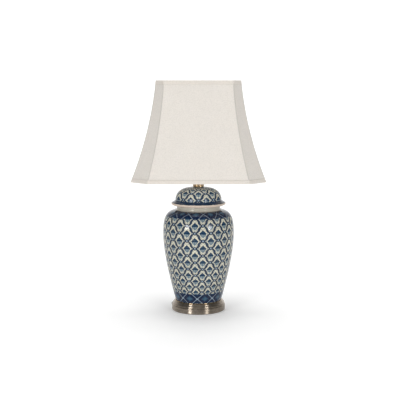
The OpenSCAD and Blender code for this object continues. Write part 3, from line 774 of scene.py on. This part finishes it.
def corner(k, z, depth=0.0):
    """Corner k at height z, depth metres inside the outer face of the fabric."""
    bisector = FACE_ANGLE[k % 8] + HALF_BEND
    push = depth / math.cos(HALF_BEND)
    x, y = (np.polyval(c, z) for c in CORNERS[k % 8])
    return np.array([x - push * math.cos(bisector), y - push * math.sin(bisector)])


def wall_path(z, depth, radius=2.5 * MM, per_face=24, per_corner=6):
    """Points and outward directions round the wall at one height, with eased corners."""
    points, normals = [], []
    for k in range(8):
        a, b = corner(k + 7, z, depth), corner(k, z, depth)
        length = np.linalg.norm(b - a)
        cut = radius * math.tan(HALF_BEND)
        along = (b - a) / length
        n0 = FACE_ANGLE[k]
        for t in np.linspace(0, 1, per_face):
            points.append(a + along * (cut + (length - 2 * cut) * t))
            normals.append((math.cos(n0), math.sin(n0)))
        centre = b - along * cut - radius * np.array([math.cos(n0), math.sin(n0)])
        for i in range(1, per_corner):
            angle = n0 + 2 * HALF_BEND * i / per_corner
            direction = np.array([math.cos(angle), math.sin(angle)])
            points.append(centre + radius * direction)
            normals.append(direction)
    return np.array(points), np.array(normals)


def relax(points, rounds, level_pull):
    """Lets a grid of points find the shape of stretched cloth, with its four edges held."""
    for _ in range(rounds):
        across = (points[1:-1, :-2] + points[1:-1, 2:]) / 2
        up = (points[:-2, 1:-1] + points[2:, 1:-1]) / 2
        points[1:-1, 1:-1] = across * level_pull + up * (1 - level_pull)
    return points


def build_panel(k):
    """One panel of the cover: cloth stretched between two wires and both rings."""
    z0, z1 = trim_low + 1.0 * MM, trim_high - 1.2 * MM
    wide = k % 2 == 0
    columns, rows = (41, 49) if wide else (13, 49)
    grid = np.zeros((rows, columns, 3))
    for i in range(rows):
        z = z0 + (z1 - z0) * i / (rows - 1)
        a, b = corner(k + 7, z), corner(k, z)
        t = np.linspace(0, 1, columns)[:, None]
        grid[i, :, :2] = a + (b - a) * t
        grid[i, :, 2] = z
    grid = relax(grid, 900 if wide else 200, 0.72 if wide else 0.8)

    # small puckers where the cloth is pulled over the ends of the wires
    rng = np.random.default_rng(40 + k)
    outward = np.array([math.cos(FACE_ANGLE[k]), math.sin(FACE_ANGLE[k])])
    s = np.linspace(0, 1, columns)[None, :]
    t = np.linspace(0, 1, rows)[:, None]
    edge = np.minimum(1, 12 * np.minimum(s, 1 - s)) * np.minimum(1, 14 * np.minimum(t, 1 - t))
    ripple = np.zeros((rows, columns))
    for _ in range(7):
        f, p, q = rng.uniform(2, 9), rng.uniform(0, TAU), rng.uniform(-2, 2)
        ripple += np.sin(TAU * (f * s + q * t) + p) * rng.uniform(0.3, 1)
    fade = 0.35 + 0.65 * np.exp(-t / 0.16) + 0.5 * np.exp(-(1 - t) / 0.1)
    grid[:, :, :2] += (ripple * edge * fade * PUCKER)[:, :, None] * outward

    inner = grid.copy()
    inner[:, :, :2] -= outward * PANEL_THICKNESS
    count = rows * columns
    faces = grid_faces(rows, columns)
    back = [tuple(count + v for v in reversed(f)) for f in faces]
    rim = ([(i, i + 1) for i in range(columns - 1)]
           + [(columns * (i + 1) - 1, columns * (i + 2) - 1) for i in range(rows - 1)]
           + [(count - 1 - i, count - 2 - i) for i in range(columns - 1)]
           + [(columns * (rows - 1 - i), columns * (rows - 2 - i)) for i in range(rows - 1)])
    sides = [(b, a, a + count, b + count) for a, b in rim]
    points = np.concatenate([grid.reshape(-1, 3), inner.reshape(-1, 3)])
    along = np.array([-outward[1], outward[0]])
    flat_u = points[:, :2] @ along
    flat_v = points[:, 2] * 1.05
    faces = faces + back + sides
    uvs = [(flat_u[v], flat_v[v]) for f in faces for v in f]
    name = FACES[k].replace("panel", "cover")
    piece = add_piece(name, points, faces, MATERIALS["linen"], "shade", uvs,
                      sharp_angle=40)
    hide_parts(FACES[k])
    width = np.linalg.norm(grid[0, -1] - grid[0, 0])
    spans = np.linalg.norm(grid[:, -1] - grid[:, 0], axis=1)


def sweep_tape(name, node, profile):
    """Tape swept round the wall, corners eased. profile is a closed list of (height, depth)."""
    loops = []
    for z, depth in profile:
        p, _ = wall_path(z, depth)
        loops.append(np.column_stack([p, np.full(len(p), z)]))
    grid = np.array(loops)
    rows, columns = grid.shape[:2]
    faces = grid_faces(rows, columns, close_rows=True, close_columns=True)
    length = np.concatenate([[0], np.cumsum(np.linalg.norm(
        np.diff(np.concatenate([grid[0], grid[:1, 0]]), axis=0), axis=1))])
    girth = np.concatenate([[0], np.cumsum(np.linalg.norm(np.diff(
        np.concatenate([grid[:, 0], grid[:1, 0]]), axis=0), axis=1))])
    uvs = []
    for i in range(rows):
        for j in range(columns):
            uvs += [(length[j], girth[i]), (length[j + 1], girth[i]),
                    (length[j + 1], girth[i + 1]), (length[j], girth[i + 1])]
    piece = add_piece(name, grid.reshape(-1, 3), faces, MATERIALS["tape"], "shade", uvs,
                      sharp_angle=60)
    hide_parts(node)
    return piece, length[-1], girth[-1]


def build_trim(top):
    """Folded tape over the shade's edge: soft folds, a slight crown and a turned-in inner edge."""
    t = 0.9 * MM
    if top:
        edge, way = trim_high, -1
    else:
        edge, way = trim_low, 1
    h = TRIM_H * way
    profile = [
        (edge + h, -0.15 * MM), (edge + h + 0.1 * MM * way, -0.5 * MM), (edge + h * 0.97, -t),
        (edge + h * 0.85, -t - 0.15 * MM), (edge + h * 0.5, -t - 0.2 * MM),
        (edge + h * 0.18, -t - 0.15 * MM),
        (edge + h * 0.05, -t * 0.9), (edge, -0.3 * MM), (edge - 0.05 * MM * way, 1.4 * MM),
        (edge, 3.4 * MM), (edge + h * 0.04, 4.3 * MM), (edge + h * 0.15, 4.9 * MM),
        (edge + h * 0.30, 5.0 * MM), (edge + h * 0.30, 4.7 * MM), (edge + h * 0.12, 3.9 * MM),
        (edge + h * 0.09, 0.4 * MM), (edge + h * 0.3, -0.1 * MM), (edge + h * 0.7, -0.12 * MM)]
    if not top:
        profile = profile[::-1]
    name = "top_tape" if top else "bottom_tape"
    piece, length, girth = sweep_tape(name, "top_trim" if top else "bottom_trim", profile)


def build_seams():
    """Flat piping, slightly crowned, over each seam between two panels."""
    points, faces, uvs = [], [], []
    levels = np.linspace(trim_low + TRIM_H - 1 * MM, trim_high - TRIM_H + 1 * MM, 60)
    section = [(math.cos(a), math.sin(a)) for a in np.linspace(0, TAU, 13)[:-1]]
    for k in range(8):
        bisector = FACE_ANGLE[k] + HALF_BEND
        out = np.array([math.cos(bisector), math.sin(bisector)])
        side = np.array([-out[1], out[0]])
        start = len(points)
        for z in levels:
            c = corner(k, z, 0.15 * MM)
            for a, b in section:
                plan = c + out * (PIPING_CROWN * max(b, -0.4)) + side * PIPING_HALF_WIDTH * a
                points.append((plan[0], plan[1], z))
        n = len(section)
        for f in grid_faces(len(levels), n, close_columns=True):
            faces.append(tuple(start + v for v in f))
            i = f[0] // n
            low, high = i * 0.004, (i + 1) * 0.004
            uvs += [(0, low), (0.0004, low), (0.0004, high), (0, high)]
        for cap in (list(range(n))[::-1], list(range((len(levels) - 1) * n, len(levels) * n))):
            faces.append(tuple(start + v for v in cap))
            uvs += [(0, 0)] * n
    piece = add_piece("seam_piping", points, faces, MATERIALS["piping"], "shade", uvs)
    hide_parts("shade_seams")


def build_lining():
    """Thin lining, drawn taut between both rings, with faint pleats."""
    z0, z1 = trim_low + 3.3 * MM, trim_high - 6.4 * MM
    rows = 40
    outer = []
    for i in range(rows):
        z = z0 + (z1 - z0) * i / (rows - 1)
        p, n = wall_path(z, LINING_DEPTH + 0.35 * MM, 6 * MM, per_face=44, per_corner=8)
        step = np.linalg.norm(np.diff(np.concatenate([p, p[:1]]), axis=0), axis=1)
        share = np.concatenate([[0], np.cumsum(step)])[:-1] / step.sum()
        pleat = 0.5 + 0.5 * np.sin(TAU * PLEATS * share + 1.7 * np.sin(TAU * 5 * share))
        slack = math.sin(math.pi * i / (rows - 1)) ** 0.5
        p = p - n * (pleat * (0.35 + 0.5 * slack) * MM + 1.2 * MM * slack)[:, None]
        outer.append(np.column_stack([p, np.full(len(p), z)]))
    outer = np.array(outer)
    inner = outer.copy()
    inner[:, :, :2] *= LINING_THINNING
    grid = np.concatenate([outer[::-1], inner])
    loops, columns = grid.shape[:2]
    faces = grid_faces(loops, columns, close_rows=True, close_columns=True)
    length = np.concatenate([[0], np.cumsum(np.linalg.norm(
        np.diff(np.concatenate([outer[0], outer[:1, 0]]), axis=0), axis=1))])
    uvs = []
    for i in range(loops):
        for j in range(columns):
            a, b = i * 0.007, (i + 1) * 0.007
            uvs += [(length[j], a), (length[j + 1], a), (length[j + 1], b), (length[j], b)]
    piece = add_piece("lining_cloth", grid.reshape(-1, 3), faces, MATERIALS["lining"], "shade",
                      uvs)
    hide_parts("shade_lining")


for k in range(8):
    build_panel(k)
build_trim(top=True)
build_trim(top=False)
build_seams()
build_lining()


# ---- materials for the CAD parts that stay -------------------------------------------

slots = {s["node"]: s["material_slot"] for s in frame["record"]["subparts"]}
for name, node in frame["nodes"].items():
    material = MATERIALS.get(slots[name])
    if material:
        for place in node.material_slots:
            place.material = material


# ---- floor and light -----------------------------------------------------------------

FLOOR_GLOW = 0.21
SKY_STRENGTH = 0.13
BOX_SIZE = (0.44, 0.47)


def add_floor():
    """Pale floor that sweeps up behind the lamp without a line."""
    half, back, bend, height, z0 = 7.0, 2.2, 1.8, 6.0, -0.0005
    path = [(-5.0, z0)]
    path += [(back * t, z0) for t in np.linspace(0, 1, 6)]
    path += [(back + bend * math.sin(a), z0 + bend * (1 - math.cos(a)))
             for a in np.linspace(0, math.pi / 2, 24)[1:]]
    path.append((back + bend, height))
    points = [(x, y, z) for y, z in path for x in (-half, half)]
    faces = [(2 * i, 2 * i + 1, 2 * i + 3, 2 * i + 2) for i in range(len(path) - 1)]
    mesh = bpy.data.meshes.new("floor")
    mesh.from_pydata(points, [], faces)
    mesh.polygons.foreach_set("use_smooth", [True] * len(faces))
    g = Graph("floor")
    g.set(base_color=(0.86, 0.86, 0.86), roughness=0.7, emission_color=(1, 1, 1),
          emission_strength=FLOOR_GLOW)
    mesh.materials.append(g.material)
    floor = bpy.data.objects.new("floor", mesh)
    bpy.context.scene.collection.objects.link(floor)


def add_panel_light(name, azimuth, distance, height, size, power, aim=(0, 0, 0.33)):
    """Soft box that faces its aim. Azimuth is counted from the front towards +X."""
    data = bpy.data.lights.new(name, "AREA")
    data.shape = "RECTANGLE"
    data.size, data.size_y = size
    data.energy = power
    light = bpy.data.objects.new(name, data)
    a = math.radians(azimuth)
    light.location = (distance * math.sin(a), -distance * math.cos(a), height)
    light.rotation_euler = (Vector(aim) - light.location).to_track_quat("-Z", "Y").to_euler()
    bpy.context.scene.collection.objects.link(light)


add_floor()
add_panel_light("left_box", -36, distance=2.0, height=0.56, size=BOX_SIZE, power=17.2)
add_panel_light("right_box", 36, distance=2.0, height=0.56, size=BOX_SIZE, power=16.2)
add_panel_light("top_box", 0, distance=0.05, height=2.6, size=(1.5, 1.5), power=26)
add_panel_light("sweep_box", 180, distance=1.3, height=3.2, size=(3.0, 0.8), power=90,
                aim=(0, 4.2, 1.0))
world = bpy.data.worlds.new("world")
bpy.context.scene.world = world
world.use_nodes = True
sky = world.node_tree.nodes["Background"]
sky.inputs["Color"].default_value = (1, 1, 1, 1)
sky.inputs["Strength"].default_value = SKY_STRENGTH
bpy.context.scene.view_settings.view_transform = "Standard"
